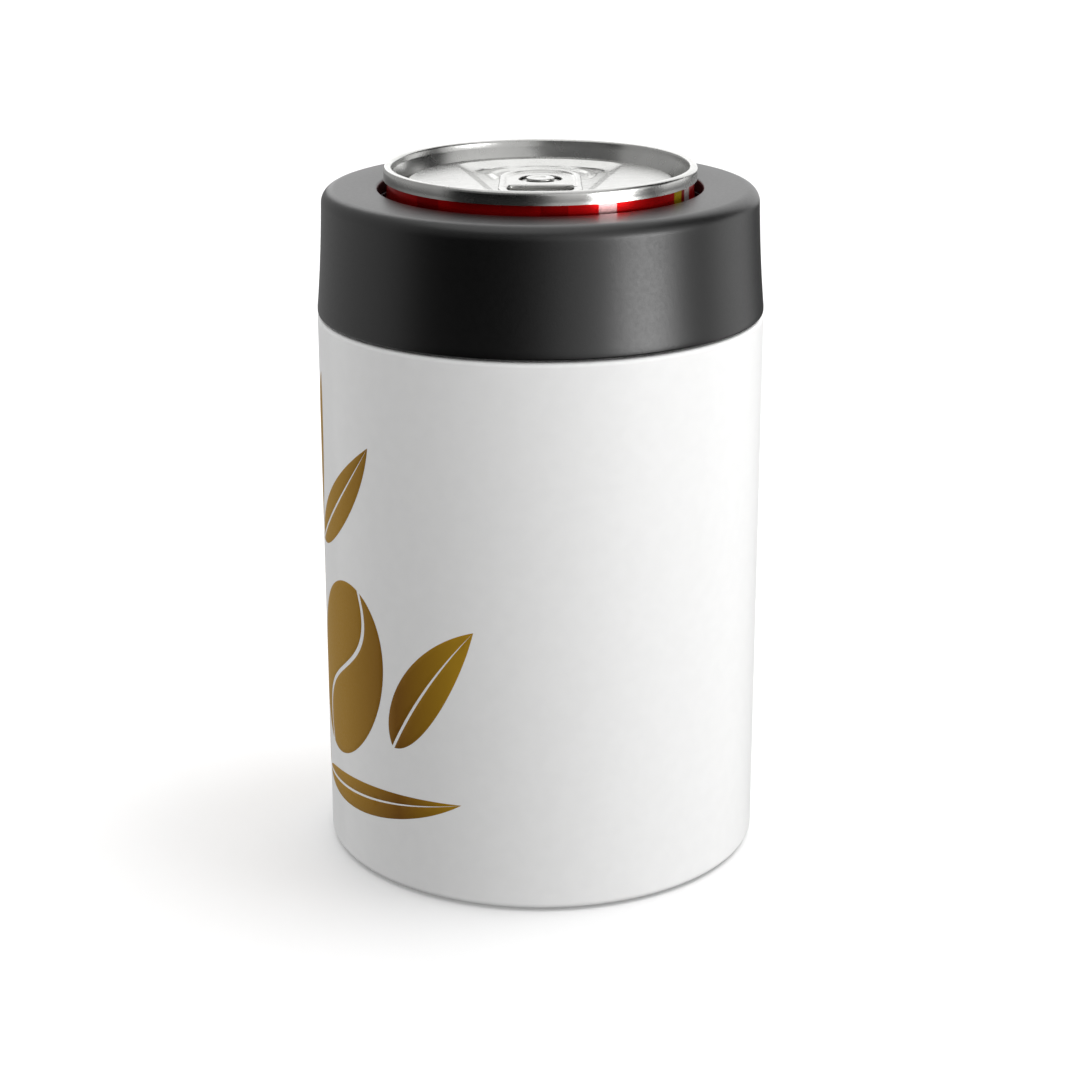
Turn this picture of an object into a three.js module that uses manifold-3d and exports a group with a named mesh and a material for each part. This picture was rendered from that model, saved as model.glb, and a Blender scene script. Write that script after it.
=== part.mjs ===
// An insulated can holder with a drink can standing in it.
//
// A double-walled steel vessel stands on a silicone pad. A plastic collar screws on to its neck and
// presses a gasket on to the can's shoulder. The can has a body, an end with a scored mouth, and a pull
// tab held by a rivet. Lengths are in millimetres, +Z is up, and the origin is at the centre of the base.

import * as THREE from 'three';
import { mergeVertices } from 'three/addons/utils/BufferGeometryUtils.js';
import Module from 'manifold-3d';

const wasm = await Module();
wasm.setup();

const { degToRad } = THREE.MathUtils;
const QUARTER = Math.PI / 2;
const HALF = Math.PI;

// General
const FACETS = 36; // round each turned piece
const GAP = 0.3; // between pieces that rest on each other
const JOIN_TOLERANCE = 1e-6; // points closer than this are one point
const CUT_PAST = 1; // how far a cutting solid reaches past the face that it cuts

// Vessel
const BODY_R = 39.2;
const SHELL_T = 0.6;
const SHELL_BASE_Z = 0.3;
const SHELL_LIP_R = 35.2; // inner edge of the lip rolled in under the body
const FOOT_CORNER_R = 1.2;
const SHOULDER_Z = 98.0;
const SHOULDER_CORNER_R = 0.8;
const NECK_R = 35.6;
const NECK_TOP_Z = 112.05;
const LINER_R = 34.2;
const LINER_T = 0.5;
const LINER_FLOOR_Z = 7.7; // underside of the liner's floor
const LINER_CORNER_R = 4.5;

// Vacuum base, under the liner
const PLATE_R = BODY_R - SHELL_T - GAP;
const PLATE_T = 0.6;
const PLATE_SEAT_Z = SHELL_BASE_Z + SHELL_T + GAP;
const PLATE_FLANGE_TOP_Z = 6.0;
const PLATE_STEP_R = 35.0;
const PLATE_FLOOR_Z = 2.4; // underside
const DIMPLE_FOOT_R = 6.5;
const DIMPLE_R = 5.5;
const DIMPLE_Z = 4.0; // underside
const EVACUATION_HOLE_R = 0.75;
const SEAL_R = 4.0;
const SEAL_EDGE_W = 1; // the sloping edge of the bead
const SEAL_BOTTOM_Z = 2.6;
const GETTER_X = 20;
const GETTER_R = 5;
const GETTER_H = 1.5;
const HOLDER_T = 0.35;
const HOLDER_FOOT_R = 7.5;
const HOLDER_LIP_R = 4.0;

// Base cover and pad, under the vacuum base
const COVER_R = 34.5;
const COVER_T = 0.6;
const PAD_R = 34.4;
const PAD_T = 1.2;
const PAD_RING_R = 26; // inner edge of the ring that the holder stands on
const PAD_RELIEF = 0.5; // how far the pad's middle is raised inside that ring

// Thread of three right-hand starts
const STARTS = 3;
const LEAD = 15; // rise in one turn
const RIDGE_CREST_R = 36.5;
const RIDGE_BASE_W = 1.8;
const RIDGE_CREST_W = 0.8;
const RIDGE_ARC = 120;
const RIDGE_LOW_Z = 103;
const LUG_CREST_R = 35.9;
const LUG_BASE_W = 1.5;
const LUG_CREST_W = 0.9;
const LUG_ARC = 60;
const LUG_START = 40; // degrees on from the low end of the ridge above it
const LUG_DROP = 1.6; // from the middle of a neck ridge to the middle of the lug under it
const ROOT_DEPTH = 0.3; // how far a ridge's root reaches into its wall
const ARC_PER_STEP = 10;

// Collar and gasket
const COLLAR_BOTTOM_Z = SHOULDER_Z + GAP;
const COLLAR_BOTTOM_R = 39.15;
const COLLAR_WAIST = { r: 38.3, z: 108 }; // steers the slightly hollow side
const COLLAR_TOP_R = 38.05;
const COLLAR_TOP_Z = 119.95;
const COLLAR_FILLET_R = 2.4;
const COLLAR_BOTTOM_BEVEL = 0.35;
const COLLAR_HOLE_R = 28.26;
const COLLAR_HOLE_BEVEL = 0.5;
const COLLAR_INNER_R = 36.8;
const FLANGE_BOTTOM_Z = 117.6;
const BEAD_INNER_R = 36.1; // bead that keeps the gasket in the collar
const BEAD_BOTTOM_Z = 112.9;
const BEAD_TOP_Z = 113.9;
const BEAD_SLOPE = 0.2;
const GASKET_R = COLLAR_INNER_R - GAP;
const GASKET_FOOT_R = 35.7;
const GASKET_BORE_R = 28.7;
const GASKET_FLARE_R = 29.3; // bore at the bottom edge, where the can is wider
const GASKET_FLARE_H = 0.85;

// Can, measured from its own base
const CAN_BASE_Z = 8.5;
const CAN_H = 115.2;
const CAN_R = 33.1;
const CAN_T = 0.3;
const DOME_R = 36.9;
const DOME_TOP_Z = 10.5;
const DOME_EDGE_R = 22.3;
const STAND_R = 23.9; // ring that the can stands on
const STAND_ROLL_R = 1.3;
const STAND_ROLL_END = 305; // angle where the rolled ring runs out into the heel
const HEEL_FOOT = { r: 29.0, z: 3.2 };
const HEEL_STEER_Z = 6.0;
const WALL_BOTTOM_Z = 11.5;
const WALL_TOP_Z = 93;
const CAN_SHOULDER_STEER_Z = 99.5;
const CAN_NECK_STEER_Z = 105.5;
const CAN_NECK_Z = 111.2;
const CAN_NECK_R = 26.65;
const CAN_NECK_TOP_Z = 114.4;

// Can end, measured from the can's base
const SEAM_R = 27.2;
const SEAM_H = 2.3;
const SEAM_OUTER_ROLL_R = 0.6;
const SEAM_INNER_ROLL_R = 0.5;
const CHUCK_TOP_R = 25.8;
const CHUCK_BEND = { r: 25.6, z: 114.0 };
const CHUCK_BOTTOM = { r: 24.35, z: 111.4 };
const COUNTERSINK = { r: 23.7, z: 111.15, roll: 0.6 };
const PANEL_Z = CAN_H - 2.6;
const PANEL_EDGE_R = 22.5;
const PANEL_ROLL_R = 0.6;
const RECESS_Z = CAN_H - 3.4; // top face of the pear-shaped recess's floor
const RECESS_INSET = 1.1; // from the recess's upper edge to the middle of its sloping side
const RECESS_FINGER = { y: -12, r: 9 };
const RECESS_FAR_ARC = { y: -2.6, r: 23.2 };
const RECESS_SIDE_END = { x: 14.9, y: 13 };
const RECESS_CORNER = { x: 15.4, y: 14.9 };
const RECESS_FAR_X = 13.4;
const MOUTH_NEAR_Y = 2.8;
const MOUTH_NEAR_X = 6.3;
const MOUTH_FAR = { y: 9.6, rx: 10, ry: 7.6 };
const MOUTH_HINGE_END = { x: -8.7, y: 4.7 };
const MOUTH_SIDE_STEER = { x: 8.7, y: 6.0 };

// Pull tab, measured from the can's base and from the rivet
const TAB_Z = RECESS_Z + GAP;
const TAB_T = 1.0;
const TAB_NOSE = { y: 0.3, r: 7.1 };
const TAB_FINGER = { y: -11.3, r: 7.2 };
const TAB_HOLE_R = 5.6;
const TAB_HOLE_NEAR_Y = -8.8;
const TONGUE_Y = -0.6;
const TONGUE_R = 3.4;
const TONGUE_CLEARANCE = 0.35;
const TONGUE_Z = RECESS_Z + 0.2;
const TONGUE_T = 0.3;
const RIVET_R = 1.6;
const RIVET_HEAD_R = 2.5;
const RIVET_HEAD_Z = TONGUE_Z + TONGUE_T + 0.15;
const RIVET_HEAD_H = 0.4;

// ---- Shapes -------------------------------------------------------------------------------------

// The points along a path, with the joins between its stretches counted once.
function pointsOf(path, steps = 1) {
  const points = path.getPoints(steps);
  return points.filter((point, i) => i === 0 || point.distanceTo(points[i - 1]) > JOIN_TOLERANCE);
}

function leftNormal(from, to) {
  const along = to.clone().sub(from).normalize();
  return new THREE.Vector2(-along.y, along.x);
}

// One point of a face, moved to the face's left by a thickness, mitred where the face bends.
function movedLeft(face, i, thickness) {
  const last = face.length - 1;
  const before = leftNormal(face[Math.max(i - 1, 0)], face[Math.max(i, 1)]);
  const after = leftNormal(face[Math.min(i, last - 1)], face[Math.min(i + 1, last)]);
  const bend = before.clone().add(after);
  const moved = face[i].clone().addScaledVector(bend, thickness / (1 + before.dot(after)));
  return new THREE.Vector2(face[i].x === 0 ? 0 : moved.x, moved.y);
}

// The section of a pressed sheet: one face, and the other face at its left.
function sheetSection(face, thickness) {
  const otherFace = face.map((_, i) => movedLeft(face, i, thickness));
  return [...face, ...otherFace.reverse()];
}

// A section given as [radius, height] corners.
function section(...corners) {
  return corners.map(([r, z]) => new THREE.Vector2(r, z));
}

// ---- Solids -------------------------------------------------------------------------------------

function solidOf(geometry) {
  geometry.deleteAttribute('normal');
  geometry.deleteAttribute('uv');
  const merged = mergeVertices(geometry);
  const corners = merged.index.array;
  const triVerts = [];
  for (let i = 0; i < corners.length; i += 3) {
    const [a, b, c] = corners.slice(i, i + 3);
    if (a !== b && b !== c && c !== a) triVerts.push(a, b, c);
  }
  return new wasm.Manifold(new wasm.Mesh({
    numProp: 3,
    vertProperties: merged.attributes.position.array,
    triVerts: new Uint32Array(triVerts),
  }));
}

// A section turned about the Z axis. It runs counter-clockwise, radius across and height up.
function turned(points) {
  const onAxis = points[0].x === 0 && points[points.length - 1].x === 0;
  const outline = onAxis ? points : [...points, points[0]];
  const geometry = new THREE.LatheGeometry(outline, FACETS);
  geometry.rotateX(QUARTER);
  return solidOf(geometry);
}

// A flat outline raised from one height by a thickness.
function raised(shape, bottomZ, height, curveSegments = 6) {
  const geometry = new THREE.ExtrudeGeometry(shape, { depth: height, bevelEnabled: false, curveSegments });
  geometry.translate(0, 0, bottomZ);
  return solidOf(geometry);
}

// A thread ridge. Its section, radius across and height up, is swept clockwise and down the lead
// from its high end.
function threadRidge(outline, highAngle, arc, highZ) {
  const steps = arc / ARC_PER_STEP;
  const bar = new THREE.ExtrudeGeometry(outline, { depth: 1, steps, bevelEnabled: false });
  const position = bar.attributes.position;
  for (let i = 0; i < position.count; i += 1) {
    const back = arc * position.getZ(i);
    const angle = degToRad(highAngle - back);
    const r = position.getX(i);
    const z = position.getY(i) + highZ - (LEAD * back) / 360;
    position.setXYZ(i, r * Math.cos(angle), r * Math.sin(angle), z);
  }
  return solidOf(bar);
}

function ridgeOutline(rootR, crestR, rootW, crestW) {
  const low = section([rootR, -rootW / 2], [crestR, -crestW / 2]);
  const high = section([crestR, crestW / 2], [rootR, rootW / 2]);
  return new THREE.Shape([...low, ...high]);
}

// The wall with one ridge for each start of the thread.
function withThread(wall, outline, highAngle, arc, highZ) {
  let threaded = wall;
  for (let start = 0; start < STARTS; start += 1) {
    threaded = threaded.add(threadRidge(outline, highAngle + (360 * start) / STARTS, arc, highZ));
  }
  return threaded;
}

function addPart(group, name, solid, material) {
  const { vertProperties, triVerts } = solid.getMesh();
  const geometry = new THREE.BufferGeometry();
  geometry.setAttribute('position', new THREE.BufferAttribute(vertProperties, 3));
  geometry.setIndex(new THREE.BufferAttribute(triVerts, 1));
  geometry.computeVertexNormals();
  const mesh = new THREE.Mesh(geometry, new THREE.MeshStandardMaterial(material));
  mesh.name = name;
  group.add(mesh);
}

// ---- Materials ----------------------------------------------------------------------------------

const WHITE_COAT = { color: 0xf4f4f2, roughness: 0.35, metalness: 0 };
const STEEL = { color: 0xb9bab8, roughness: 0.35, metalness: 1 };
const SILICONE = { color: 0x2a2a2b, roughness: 0.8, metalness: 0 };
const BLACK_PLASTIC = { color: 0x1b1b1c, roughness: 0.55, metalness: 0 };
const GLASS_SOLDER = { color: 0x4c4a46, roughness: 0.3, metalness: 0 };
const GETTER_METAL = { color: 0x6e6c6a, roughness: 0.6, metalness: 1 };
const ALUMINIUM = { color: 0xd2d2cf, roughness: 0.25, metalness: 1 };
const RED_LACQUER = { color: 0xb00f0f, roughness: 0.25, metalness: 0.4 };

// ---- Vessel -------------------------------------------------------------------------------------

function outerShell() {
  const face = new THREE.Path();
  const corner = FOOT_CORNER_R;
  face.moveTo(SHELL_LIP_R, SHELL_BASE_Z);
  face.lineTo(BODY_R - corner, SHELL_BASE_Z);
  face.absarc(BODY_R - corner, SHELL_BASE_Z + corner, corner, -QUARTER, 0);
  const shoulder = SHOULDER_CORNER_R;
  face.absarc(BODY_R - shoulder, SHOULDER_Z - shoulder, shoulder, 0, QUARTER);
  face.lineTo(NECK_R, SHOULDER_Z);
  face.lineTo(NECK_R, NECK_TOP_Z);
  const shell = turned(sheetSection(pointsOf(face), SHELL_T));
  const outline = ridgeOutline(NECK_R - ROOT_DEPTH, RIDGE_CREST_R, RIDGE_BASE_W, RIDGE_CREST_W);
  const ridgeRise = (LEAD * RIDGE_ARC) / 360;
  return withThread(shell, outline, RIDGE_ARC, RIDGE_ARC, RIDGE_LOW_Z + ridgeRise);
}

function innerLiner() {
  const face = new THREE.Path();
  const corner = LINER_CORNER_R;
  face.moveTo(0, LINER_FLOOR_Z);
  face.lineTo(LINER_R - corner, LINER_FLOOR_Z);
  face.absarc(LINER_R - corner, LINER_FLOOR_Z + corner, corner, -QUARTER, 0);
  face.lineTo(LINER_R, NECK_TOP_Z + GAP);
  face.lineTo(NECK_R, NECK_TOP_Z + GAP);
  return turned(sheetSection(pointsOf(face, 2), LINER_T));
}

function basePlate() {
  const face = section(
    [EVACUATION_HOLE_R, DIMPLE_Z],
    [DIMPLE_R, DIMPLE_Z],
    [DIMPLE_FOOT_R, PLATE_FLOOR_Z],
    [PLATE_STEP_R, PLATE_FLOOR_Z],
    [PLATE_STEP_R, PLATE_SEAT_Z],
    [PLATE_R, PLATE_SEAT_Z],
    [PLATE_R, PLATE_FLANGE_TOP_Z],
  );
  return turned(sheetSection(face, PLATE_T));
}

function sealBead() {
  const top = DIMPLE_Z - GAP;
  const edge = (SEAL_BOTTOM_Z + top) / 2;
  const flatR = SEAL_R - SEAL_EDGE_W;
  return turned(section([0, SEAL_BOTTOM_Z], [flatR, SEAL_BOTTOM_Z], [SEAL_R, edge], [flatR, top], [0, top]));
}

function getterPellet(bottomZ) {
  const top = bottomZ + GETTER_H;
  return turned(section([0, bottomZ], [GETTER_R, bottomZ], [GETTER_R, top], [0, top]));
}

function getterHolder(bottomZ) {
  const wallR = GETTER_R + GAP + HOLDER_T;
  const face = section(
    [HOLDER_FOOT_R, bottomZ + HOLDER_T],
    [wallR, bottomZ + HOLDER_T],
    [wallR, bottomZ + GETTER_H + GAP + HOLDER_T],
    [HOLDER_LIP_R, bottomZ + GETTER_H + GAP + HOLDER_T],
  );
  return turned(sheetSection(face, HOLDER_T));
}

function baseCover() {
  const bottom = PAD_T + GAP;
  return turned(section([0, bottom], [COVER_R, bottom], [COVER_R, bottom + COVER_T], [0, bottom + COVER_T]));
}

function basePad() {
  return turned(section(
    [0, PAD_RELIEF],
    [PAD_RING_R - PAD_RELIEF, PAD_RELIEF],
    [PAD_RING_R, 0],
    [PAD_R - PAD_RELIEF, 0],
    [PAD_R, PAD_RELIEF],
    [PAD_R, PAD_T],
    [0, PAD_T],
  ));
}

// ---- Collar -------------------------------------------------------------------------------------

function collarShell() {
  const face = new THREE.Path();
  face.moveTo(COLLAR_INNER_R, COLLAR_BOTTOM_Z);
  face.lineTo(COLLAR_BOTTOM_R - COLLAR_BOTTOM_BEVEL, COLLAR_BOTTOM_Z);
  face.lineTo(COLLAR_BOTTOM_R, COLLAR_BOTTOM_Z + COLLAR_BOTTOM_BEVEL);
  face.quadraticCurveTo(COLLAR_WAIST.r, COLLAR_WAIST.z, COLLAR_TOP_R, COLLAR_TOP_Z - COLLAR_FILLET_R);
  face.absarc(COLLAR_TOP_R - COLLAR_FILLET_R, COLLAR_TOP_Z - COLLAR_FILLET_R, COLLAR_FILLET_R, 0, QUARTER);
  face.lineTo(COLLAR_HOLE_R + COLLAR_HOLE_BEVEL, COLLAR_TOP_Z);
  face.lineTo(COLLAR_HOLE_R, COLLAR_TOP_Z - COLLAR_HOLE_BEVEL);
  face.lineTo(COLLAR_HOLE_R, FLANGE_BOTTOM_Z);
  face.lineTo(COLLAR_INNER_R, FLANGE_BOTTOM_Z);
  face.lineTo(COLLAR_INNER_R, BEAD_TOP_Z);
  face.lineTo(BEAD_INNER_R, BEAD_TOP_Z - BEAD_SLOPE);
  face.lineTo(BEAD_INNER_R, BEAD_BOTTOM_Z + BEAD_SLOPE);
  face.lineTo(COLLAR_INNER_R, BEAD_BOTTOM_Z);
  const shell = turned(pointsOf(face, 2));
  const outline = ridgeOutline(COLLAR_INNER_R + ROOT_DEPTH, LUG_CREST_R, LUG_BASE_W, LUG_CREST_W);
  const lugEnd = LUG_START + LUG_ARC;
  const lugHighZ = RIDGE_LOW_Z + (LEAD * lugEnd) / 360 - LUG_DROP;
  return withThread(shell, outline, lugEnd, LUG_ARC, lugHighZ);
}

function canGasket() {
  const bottom = NECK_TOP_Z + GAP + LINER_T + GAP;
  const top = FLANGE_BOTTOM_Z - GAP;
  return turned(section(
    [GASKET_FLARE_R, bottom],
    [GASKET_FOOT_R, bottom],
    [GASKET_FOOT_R, BEAD_TOP_Z + GAP],
    [GASKET_R, BEAD_TOP_Z + GAP],
    [GASKET_R, top],
    [GASKET_BORE_R, top],
    [GASKET_BORE_R, bottom + GASKET_FLARE_H],
  ));
}

// ---- Can ----------------------------------------------------------------------------------------

function canBody() {
  const face = new THREE.Path();
  const domeCentreZ = DOME_TOP_Z - DOME_R;
  face.absarc(0, domeCentreZ, DOME_R, QUARTER, Math.acos(DOME_EDGE_R / DOME_R), true);
  face.lineTo(STAND_R - STAND_ROLL_R, STAND_ROLL_R);
  face.absarc(STAND_R, STAND_ROLL_R, STAND_ROLL_R, HALF, degToRad(STAND_ROLL_END));
  face.lineTo(HEEL_FOOT.r, HEEL_FOOT.z);
  face.quadraticCurveTo(CAN_R, HEEL_STEER_Z, CAN_R, WALL_BOTTOM_Z);
  face.lineTo(CAN_R, WALL_TOP_Z);
  face.bezierCurveTo(
    CAN_R, CAN_SHOULDER_STEER_Z,
    CAN_NECK_R, CAN_NECK_STEER_Z,
    CAN_NECK_R, CAN_NECK_Z,
  );
  face.lineTo(CAN_NECK_R, CAN_NECK_TOP_Z);
  const points = pointsOf(face, 3);
  points[0].x = 0;
  return turned(sheetSection(points, CAN_T));
}

// The upper face of the can end, from the foot of the seam over its crest to the middle of the panel.
function endFace() {
  const face = new THREE.Path();
  const outer = SEAM_OUTER_ROLL_R;
  const inner = SEAM_INNER_ROLL_R;
  face.moveTo(SEAM_R, CAN_H - SEAM_H);
  face.lineTo(SEAM_R, CAN_H - outer);
  face.absarc(SEAM_R - outer, CAN_H - outer, outer, 0, QUARTER);
  face.absarc(CHUCK_TOP_R + inner, CAN_H - inner, inner, QUARTER, HALF);
  face.lineTo(CHUCK_BEND.r, CHUCK_BEND.z);
  face.lineTo(CHUCK_BOTTOM.r, CHUCK_BOTTOM.z);
  face.absarc(COUNTERSINK.r, COUNTERSINK.z, COUNTERSINK.roll, 0, HALF, true);
  face.absarc(PANEL_EDGE_R, PANEL_Z - PANEL_ROLL_R, PANEL_ROLL_R, 0, QUARTER);
  face.lineTo(0, PANEL_Z);
  return pointsOf(face);
}

// The pear-shaped recess that the tab lies in, wide at the mouth and narrow at the finger end.
function recessShape(inset) {
  const fingerR = RECESS_FINGER.r - inset;
  const farR = RECESS_FAR_ARC.r - inset;
  const farX = RECESS_FAR_X - inset;
  const farAngle = Math.acos(farX / farR);
  const farY = RECESS_FAR_ARC.y + farR * Math.sin(farAngle);
  const side = { x: RECESS_SIDE_END.x - inset, y: RECESS_SIDE_END.y - inset };
  const corner = { x: RECESS_CORNER.x - inset, y: RECESS_CORNER.y - inset };
  const shape = new THREE.Shape();
  shape.absarc(0, RECESS_FINGER.y, fingerR, HALF, 2 * HALF);
  shape.lineTo(side.x, side.y);
  shape.quadraticCurveTo(corner.x, corner.y, farX, farY);
  shape.absarc(0, RECESS_FAR_ARC.y, farR, farAngle, HALF - farAngle);
  shape.quadraticCurveTo(-corner.x, corner.y, -side.x, side.y);
  shape.closePath();
  return shape;
}

// The mouth. Its straight left side is where the tear panel bends down.
function mouthShape(inset) {
  const near = MOUTH_NEAR_Y + inset;
  const halfWidth = MOUTH_FAR.rx - inset;
  const shape = new THREE.Shape();
  shape.moveTo(-MOUTH_NEAR_X, near);
  shape.lineTo(MOUTH_NEAR_X, near);
  shape.bezierCurveTo(MOUTH_SIDE_STEER.x, near, halfWidth, MOUTH_SIDE_STEER.y, halfWidth, MOUTH_FAR.y);
  shape.absellipse(0, MOUTH_FAR.y, halfWidth, MOUTH_FAR.ry - inset, 0, HALF);
  shape.lineTo(MOUTH_HINGE_END.x + inset, MOUTH_HINGE_END.y);
  shape.quadraticCurveTo(-MOUTH_SIDE_STEER.x + inset, near, -MOUTH_NEAR_X, near);
  return shape;
}

function rivet() {
  const headTop = RIVET_HEAD_Z + RIVET_HEAD_H;
  const rootZ = RECESS_Z - CAN_T / 2;
  return turned(section(
    [0, rootZ],
    [RIVET_R, rootZ],
    [RIVET_R, RIVET_HEAD_Z],
    [RIVET_HEAD_R, RIVET_HEAD_Z],
    [RIVET_HEAD_R, headTop],
    [0, headTop],
  ));
}

function canEnd() {
  const panDepth = PANEL_Z - RECESS_Z;
  const pan = raised(recessShape(RECESS_INSET - CAN_T), RECESS_Z - CAN_T, panDepth + CAN_T);
  const recess = raised(recessShape(RECESS_INSET), RECESS_Z, panDepth + CUT_PAST);
  const mouth = raised(mouthShape(0), RECESS_Z - CUT_PAST, 2 * CUT_PAST);
  const plain = turned(sheetSection(endFace(), CAN_T));
  return plain.add(pan).subtract(recess).subtract(mouth).add(rivet());
}

function tearPanel() {
  return raised(mouthShape(GAP), RECESS_Z - CAN_T, CAN_T);
}

function pullTab() {
  const shape = new THREE.Shape();
  shape.absarc(0, TAB_FINGER.y, TAB_FINGER.r, HALF, 2 * HALF);
  shape.absarc(0, TAB_NOSE.y, TAB_NOSE.r, 0, HALF);
  shape.closePath();
  const fingerHole = new THREE.Path();
  fingerHole.absarc(0, TAB_FINGER.y, TAB_HOLE_R, HALF, 2 * HALF);
  fingerHole.lineTo(TAB_HOLE_R, TAB_HOLE_NEAR_Y);
  fingerHole.lineTo(-TAB_HOLE_R, TAB_HOLE_NEAR_Y);
  fingerHole.closePath();
  const tongueHole = new THREE.Path();
  tongueHole.absarc(0, TONGUE_Y, TONGUE_R + TONGUE_CLEARANCE, 0, 2 * HALF);
  shape.holes.push(fingerHole, tongueHole);
  return raised(shape, TAB_Z, TAB_T);
}

function tabTongue() {
  const shape = new THREE.Shape();
  shape.absarc(0, TONGUE_Y, TONGUE_R, 0, 2 * HALF);
  const rivetHole = new THREE.Path();
  rivetHole.absarc(0, 0, RIVET_R + GAP, 0, 2 * HALF);
  shape.holes.push(rivetHole);
  return raised(shape, TONGUE_Z, TONGUE_T);
}

// ---- Assembly -----------------------------------------------------------------------------------

function vesselGroup() {
  const vessel = new THREE.Group();
  addPart(vessel, 'outer_shell', outerShell(), WHITE_COAT);
  addPart(vessel, 'inner_liner', innerLiner(), STEEL);
  addPart(vessel, 'base_plate', basePlate(), STEEL);
  addPart(vessel, 'seal_bead', sealBead(), GLASS_SOLDER);
  addPart(vessel, 'base_cover', baseCover(), STEEL);
  addPart(vessel, 'base_pad', basePad(), SILICONE);
  const getter = new THREE.Group();
  const getterZ = PLATE_FLOOR_Z + PLATE_T + GAP;
  getter.position.x = GETTER_X;
  addPart(getter, 'getter', getterPellet(getterZ), GETTER_METAL);
  addPart(getter, 'getter_holder', getterHolder(getterZ), STEEL);
  vessel.add(getter);
  return vessel;
}

function collarGroup() {
  const collar = new THREE.Group();
  addPart(collar, 'collar_shell', collarShell(), BLACK_PLASTIC);
  addPart(collar, 'can_gasket', canGasket(), SILICONE);
  return collar;
}

function canGroup() {
  const can = new THREE.Group();
  can.position.z = CAN_BASE_Z;
  addPart(can, 'can_body', canBody(), RED_LACQUER);
  addPart(can, 'can_end', canEnd(), ALUMINIUM);
  addPart(can, 'tear_panel', tearPanel(), ALUMINIUM);
  addPart(can, 'pull_tab', pullTab(), ALUMINIUM);
  addPart(can, 'tab_tongue', tabTongue(), ALUMINIUM);
  return can;
}

const holder = new THREE.Group();
holder.add(vesselGroup(), collarGroup(), canGroup());

export default holder;
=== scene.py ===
"""An insulated can holder with a drink can in it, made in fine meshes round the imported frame.

Lengths are in millimetres until a mesh is made, and angles are in degrees. Azimuth 0 faces the
camera, along -Y, and grows towards +X.
"""

import math

import bmesh
import bpy
import numpy as np
from mathutils import Matrix, Vector
from mathutils.geometry import delaunay_2d_cdt


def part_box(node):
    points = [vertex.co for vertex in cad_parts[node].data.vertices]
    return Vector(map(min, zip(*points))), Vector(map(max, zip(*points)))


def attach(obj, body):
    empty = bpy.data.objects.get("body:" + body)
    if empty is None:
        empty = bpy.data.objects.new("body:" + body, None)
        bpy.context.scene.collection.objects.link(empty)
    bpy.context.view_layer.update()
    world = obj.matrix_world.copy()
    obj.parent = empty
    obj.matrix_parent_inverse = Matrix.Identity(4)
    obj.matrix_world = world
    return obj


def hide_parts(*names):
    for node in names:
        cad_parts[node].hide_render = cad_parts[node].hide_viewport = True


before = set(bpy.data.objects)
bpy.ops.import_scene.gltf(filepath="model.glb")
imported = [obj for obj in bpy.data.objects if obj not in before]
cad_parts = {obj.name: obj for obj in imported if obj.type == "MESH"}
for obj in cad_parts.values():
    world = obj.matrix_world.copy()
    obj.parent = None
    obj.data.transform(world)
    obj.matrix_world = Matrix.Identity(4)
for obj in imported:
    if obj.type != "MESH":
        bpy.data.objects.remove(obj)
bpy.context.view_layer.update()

MM = 0.001


class Extent:
    """A CAD node's middle across, its outer radius, and its lowest and highest point."""

    def __init__(self, node):
        low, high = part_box(node)
        self.x = (low.x + high.x) / 2 / MM
        self.r = (high.x - low.x) / 2 / MM
        self.low = low.z / MM
        self.high = high.z / MM


SHELL = Extent("outer_shell")
LINER = Extent("inner_liner")
PLATE = Extent("base_plate")
SEAL = Extent("seal_bead")
GETTER = Extent("getter")
HOLDER = Extent("getter_holder")
COVER = Extent("base_cover")
PAD = Extent("base_pad")
COLLAR = Extent("collar_shell")
GASKET = Extent("can_gasket")
CAN = Extent("can_body")
END = Extent("can_end")
PANEL = Extent("tear_panel")
TAB = Extent("pull_tab")
TONGUE = Extent("tab_tongue")

# Fineness of the meshes
TURN_STEPS = 256
SMALL_TURN_STEPS = 96
FAN_STEPS = 360
FILLET_STEPS = 6
SHARP_ANGLE = 38

# How near counts as being on the axis, at the same point, and on an edge or a wall
AXIS_R = 1e-6
SAME_POINT = 1e-5
AT_EDGE = SAME_POINT * 10

# Vessel
PRINT_T = 0.03
SHELL_R = SHELL.r - PRINT_T
SHELL_T = 0.6
SHELL_LIP_R = 35.2
SHOULDER_Z = COLLAR.low - 0.3
NECK_R = 35.6
LINER_T = 0.5
LINER_R = 34.2
PLATE_T = 0.6
HOLDER_T = 0.35

# Thread of three right-hand starts, with lugs in the collar under ridges on the neck. Each runs
# from its start over its arc, in degrees, and is widest at its base.
STARTS = 3
LEAD = 15
RIDGE = {"start": 0, "arc": 120, "low": 103, "base": 1.8, "crest": 0.8, "height": 0.9}
LUG = {"start": 40, "arc": 60, "low": 103.07, "base": 1.5, "crest": 0.9, "height": 0.9}
THREAD_TAPER = 7
THREAD_ROWS = 0.2

# Collar
COLLAR_INNER_R = 36.8
COLLAR_TOP_R = 38.05
COLLAR_FILLET = 2.4
COLLAR_HOLE_R = 28.26
FLANGE_Z = GASKET.high + 0.3
BEAD_R = 36.1

# Can and its end
CAN_T = 0.3
END_T = 0.25
SEAM_H = 2.3
PANEL_Z = END.high - 2.6
FLOOR_Z = END.high - 3.4
PANEL_R = 22.2
MOUTH_CENTRE = np.array([0.0, 9.0])
SCORE_GAP = 0.05

# The recess's slope is this wide, and this share of it at the finger end
RECESS_SLOPE = 3.2
FINGER_SLOPE = 0.75


# ---- Outlines -----------------------------------------------------------------------------------


def smooth(value):
    """0 below 0, 1 above 1, and an S-curve between them."""
    t = np.clip(value, 0.0, 1.0)
    return t * t * (3 - 2 * t)


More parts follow.
